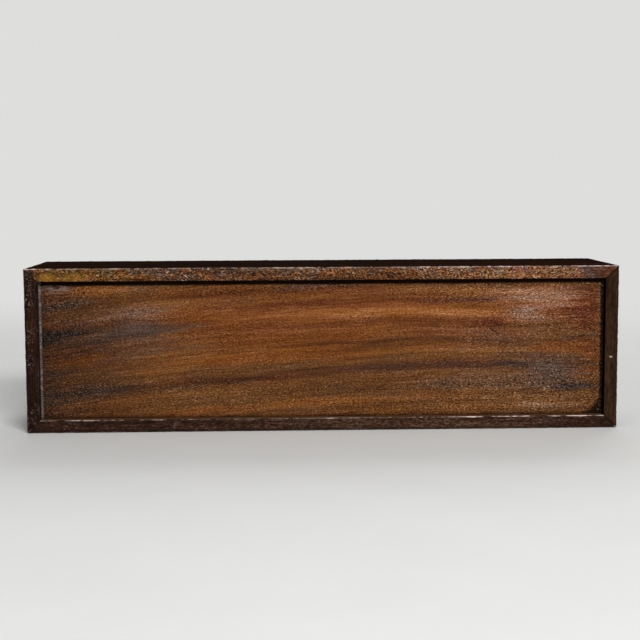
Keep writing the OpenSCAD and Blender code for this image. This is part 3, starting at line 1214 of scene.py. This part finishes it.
# %% The left stile: nearly black, with pale dashes on its outer half
def left_look(place, curled, tone, colours):
    [x] = parts_of(place, "X")
    outer_half = 0.35 + 0.65 * step(x, -174.5, -176)
    flecked = 0.7 * outer_half.at_least(patch(place, -175, 17, 5, 7))
    return fine_flecks(place, curled, tones(tone, colours), flecked, (140, 128, 120))


def left_edges(place):
    [z] = parts_of(place, "Z")
    # Wear and a painted highlight on the arrises, the outer one brighter towards the top.
    return 0.15 + 0.45 * step(z, 74, 90), 0.25, (120, 106, 98)


# %% The pull strip: smooth and dark, with one pale nick and a thin line of painted highlight and wear on its outer arris
def strip_look(place, curled, tone, colours):
    [y] = parts_of(place, "Y")
    nick = patch(place, 175.6, 44, 1.3, 0.8) * step(y - front / MM, 1.5, 0.5)
    return mix(0.7 * nick, tones(tone, colours), (186, 176, 160))


def strip_edges(place):
    [z] = parts_of(place, "Z")
    # Wear and a painted highlight on the outer arris, above its lowest few mm.
    return 0.45 * step(z, 4, 12), 0.1, (104, 92, 76)


# %% Finishes of the boards
top_wood = board_wood(
    "top_board_hardwood", 0,
    [(14, 8, 4), (50, 31, 17), (96, 64, 37), (130, 92, 58), (168, 140, 110), (218, 208, 196)],
    top_look, top_edges, polish=0.1,
)
bottom_wood = board_wood(
    "bottom_board_hardwood", 0,
    [(18, 10, 7), (40, 24, 17), (60, 39, 28), (112, 84, 66)],
    # The recess colour here is painted light on the lit bottom ledge.
    bottom_look, bottom_edges, (104, 72, 50),
)
left_wood = board_wood(
    "left_end_hardwood", 2,
    [(14, 7, 5), (28, 15, 11), (44, 25, 17), (82, 54, 40)],
    # The recess colour here is painted light on the left wall, which faces the lamp.
    left_look, left_edges, (50, 42, 40),
)
right_wood = board_wood(
    "right_end_hardwood", 2,
    [(18, 10, 7), (32, 20, 13), (48, 31, 20), (88, 62, 44)],
    strip_look, strip_edges,
)
strip_wood = board_wood(
    "pull_strip_hardwood", 2,
    [(24, 15, 8), (45, 29, 18), (63, 42, 27), (94, 68, 44)],
    # The recess colour here is painted shade on the strip's inner wall.
    strip_look, strip_edges, (10, 7, 6), 0.04,
)


# %% Bamboo
def bamboo_wood():
    """Pale, straight and evenly fibred, with darker dots at the cut ends."""
    place = place_in_mm(Finish("bamboo"))
    fibre = noise(place, (0.25, 9, 0.25), 3)
    ageing = noise(place, (3, 3, 3), 2, 9)
    colours = [(104, 74, 40), (158, 120, 72), (196, 164, 112)]
    colour = tones(0.7 * fibre + 0.3 * ageing, colours, (0.3, 0.5, 0.7))
    bump = relief(fibre, 0.3, 0.1 * MM)
    return place.finish.close(Base_Color=colour, Roughness=0.4 + 0.3 * ageing, Normal=bump)


bamboo = bamboo_wood()

# %% [markdown]
# ## Dress the pieces
#
# Each wooden body takes the place of one solid, and rides on that solid's body, so that it
# slides when the lid does.

# %% Give each piece its finish and its body
def dress(piece, finish, node):
    piece.data.materials.clear()
    piece.data.materials.append(finish)
    body = "lid" if node.startswith("lid") else "box"
    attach(piece, body)
    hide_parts(node)
    print(f"{piece.name} rides on {body}")


dress(top_board, top_wood, "top_board")
dress(bottom_board, bottom_wood, "bottom_board")
dress(left_end, left_wood, "left_end_board")
dress(right_end, right_wood, "right_end_board")
dress(panel, right_wood, "back_panel")
dress(lid, lid_wood, "lid_board")
dress(strip, strip_wood, "lid_pull_strip")
dress(pegs, bamboo, "lid_strip_pegs")

# %% [markdown]
# ## The studio
#
# The box stands on a pale floor. One large soft lamp is in front, a little above and to
# the right, so that the rim throws a narrow shadow on the lid's upper edge, as in the
# photograph. A weak lamp fills from the left, and one lights the back. Far from the box
# the floor and the world show one plain pale tone where they are seen directly, so the
# background is even from every side and adds little light to the box.

# %% The floor
def seen_directly(finish):
    """1 for what is seen, also in a mirror or through glass, and 0 for what lights the box."""
    rays = ("Is Camera Ray", "Is Glossy Ray", "Is Transmission Ray")
    camera_ray, glossy, through = (finish.node("ShaderNodeLightPath", {}, {}, ray) for ray in rays)
    return camera_ray.at_least(glossy).at_least(through)


even_from, even_to = 380, 1050


def paper():
    sheet = Finish("studio_paper")
    place = place_in_mm(sheet)
    mottle = noise(place, (60, 60, 60), 3)
    colour = mix(mottle, (236, 236, 234), (242, 242, 240))
    far = seen_directly(sheet) * step(distance_out(place), even_from, even_to)
    glow = mix(far, (0, 0, 0), (222, 222, 220))
    colour = mix(far, colour, (0, 0, 0))
    return sheet.close(
        Base_Color=colour, Roughness=0.8, Specular_IOR_Level=0,
        Emission_Color=glow, Emission_Strength=1,
    )


floor_size, floor_back, backdrop_height, sweep = 6, 2.4, 3, 1.4

bpy.ops.mesh.primitive_plane_add(size=floor_size, location=(0, floor_back - floor_size / 2, 0))
bpy.ops.object.transform_apply()
floor = bpy.context.object
floor.name = "floor"
with editing(floor):
    pick_edges(floor, edges_at(1, floor_back))
    bpy.ops.mesh.extrude_region_move(TRANSFORM_OT_translate={"value": (0, 0, backdrop_height)})
    pick_edges(floor, both(edges_at(1, floor_back), edges_at(2, 0)))
    bpy.ops.mesh.bevel(offset=sweep, segments=24, affect="EDGES")
bpy.ops.object.shade_smooth()
floor.data.materials.append(paper())


# %% The lamps and the world
aim = Vector((0, 0, 0.05))
ambient, backdrop_glow = 0.18, 0.55


def softbox(name, place, size, power):
    data = bpy.data.lights.new(name, "AREA")
    data.shape, data.size, data.size_y, data.energy = "RECTANGLE", *size, power
    lamp = bpy.data.objects.new(name, data)
    bpy.context.scene.collection.objects.link(lamp)
    lamp.location = place
    lamp.rotation_euler = (aim - lamp.location).to_track_quat("-Z", "Y").to_euler()


softbox("key", (0.45, -1.5, 0.95), (0.7, 0.35), 22.5)
softbox("fill", (-1.3, -1.2, 0.9), (1.2, 0.9), 3.5)
softbox("rear", (0.3, 1.3, 1.1), (1.6, 0.8), 11)

world = bpy.data.worlds.new("studio")
bpy.context.scene.world = world
sky = Finish("studio_sky", world)
strength = ambient + backdrop_glow * seen_directly(sky)
background = sky.node("ShaderNodeBackground", {}, {"Color": (1, 1, 1), "Strength": strength})
sky.node("ShaderNodeOutputWorld", {}, {"Surface": background})
bpy.context.scene.view_settings.view_transform = "Standard"
